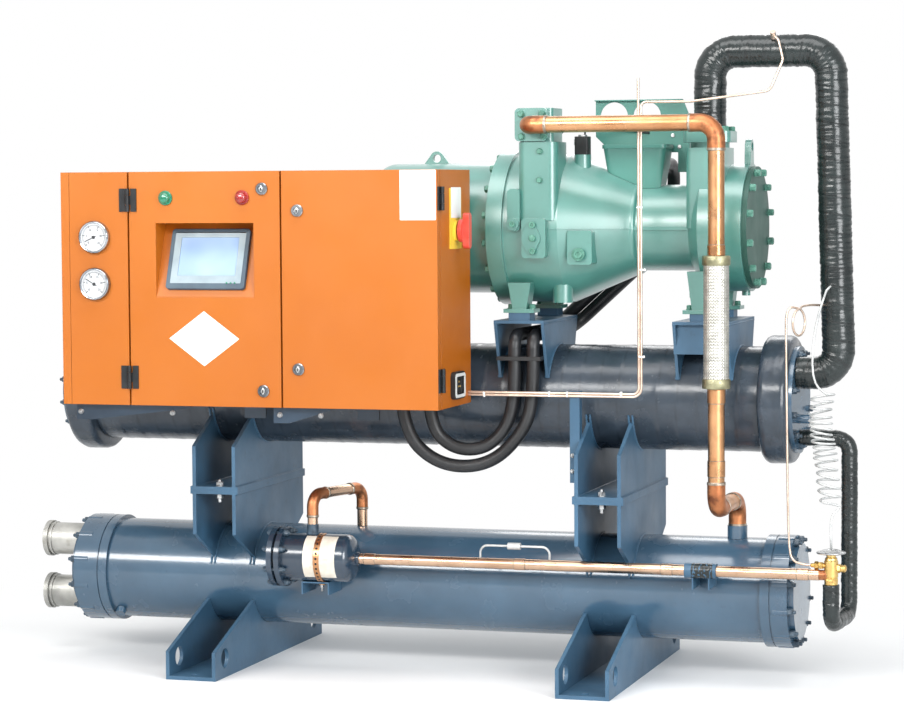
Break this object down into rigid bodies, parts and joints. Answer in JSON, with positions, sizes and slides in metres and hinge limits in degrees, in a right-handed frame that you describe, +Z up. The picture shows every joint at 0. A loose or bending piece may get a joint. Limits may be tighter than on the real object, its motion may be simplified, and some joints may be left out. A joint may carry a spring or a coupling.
{
  "type": "water-cooled screw chiller",
  "caption": "Water-cooled screw chiller: compressor on an insulated evaporator above a condenser, with copper and wrapped pipes and an orange control cabinet with two doors.",
  "frame": {"origin": "on the floor, at the centre of the four anchor bolts under the feet", "axes": "+X along the vessels towards the suction pipe, +Y away from the cabinet doors, +Z up"},
  "size_m": [2.29, 0.892, 1.6829],
  "materials": {
    "vessel_blue": "gloss paint",
    "black_wrap": "shiny tape wrap",
    "compressor_green": "satin paint",
    "copper": "satin copper",
    "steel_braid": "woven",
    "cabinet_orange": "powder coat",
    "black_plastic": "matte",
    "cable_black": "satin",
    "brass": "machined",
    "steel": "zinc plated",
    "chrome": "polished",
    "lamp_green": "gloss",
    "lamp_red": "gloss",
    "screen": "satin",
    "switch_red": "gloss",
    "switch_yellow": "matte",
    "pale_grey": "matte"
  },
  "bodies": {
    "chiller": {"condenser_shell": "vessel_blue", "condenser_head_left": "vessel_blue", "condenser_head_right": "vessel_blue", "condenser_water_stubs": "steel", "condenser_fittings": "vessel_blue", "evaporator_shell": "black_wrap", "evaporator_flanges": "black_wrap", "evaporator_covers": "vessel_blue", "evaporator_water_stubs": "steel", "feet": "vessel_blue", "foot_side_plates": "vessel_blue", "lower_saddles": "vessel_blue", "upper_saddles": "vessel_blue", "pedestals": "vessel_blue", "cable_rail": "black_plastic", "oil_separator": "compressor_green", "rotor_housing": "compressor_green", "motor_housing": "compressor_green", "motor_end_cover": "compressor_green", "lifting_eyes": "compressor_green", "terminal_box": "compressor_green", "gland_plate": "compressor_green", "oil_sensor": "black_plastic", "discharge_valve": "compressor_green", "suction_valve": "compressor_green", "discharge_pipe": "copper", "braided_hose": "steel_braid", "suction_pipe": "black_wrap", "liquid_feed_pipe": "black_wrap", "expansion_valve": "brass", "filter_drier": "vessel_blue", "liquid_pipes": "copper", "pipe_brackets": "vessel_blue", "cabinet_brackets": "vessel_blue", "gauge_tubes": "copper", "capillary_tubes": "steel", "bypass_tube": "steel", "cabinet_case": "cabinet_orange", "gauge_panel": "cabinet_orange", "pressure_gauges": "chrome", "hinge_leaves": "black_plastic", "switch_base": "switch_yellow", "service_socket": "black_plastic", "switchgear": "pale_grey", "power_cable_a": "cable_black", "power_cable_b": "cable_black", "motor_cables": "cable_black"},
    "hmi_door_body": {"hmi_door": "cabinet_orange", "hmi_panel": "screen", "green_lamp": "lamp_green", "red_lamp": "lamp_red", "hmi_door_locks": "chrome", "hmi_door_hinges": "black_plastic"},
    "power_door_body": {"power_door": "cabinet_orange", "power_door_locks": "chrome", "power_door_hinges": "black_plastic"},
    "switch_body": {"switch_handle": "switch_red"}
  },
  "joints": [
    {"name": "hmi_door_hinge", "type": "hinge", "parent": "chiller", "child": "hmi_door_body", "pos_m": [-0.6665, -0.47, 1.031], "axis": [0, 0, -1], "range_deg": [0, 110]},
    {"name": "power_door_hinge", "type": "hinge", "parent": "chiller", "child": "power_door_body", "pos_m": [0.18, -0.4395, 1.031], "axis": [0, 0, 1], "range_deg": [0, 110]},
    {"name": "main_switch_turn", "type": "hinge", "parent": "chiller", "child": "switch_body", "pos_m": [0.174, -0.313, 1.178], "axis": [1, 0, 0], "range_deg": [0, 90]}
  ]
}
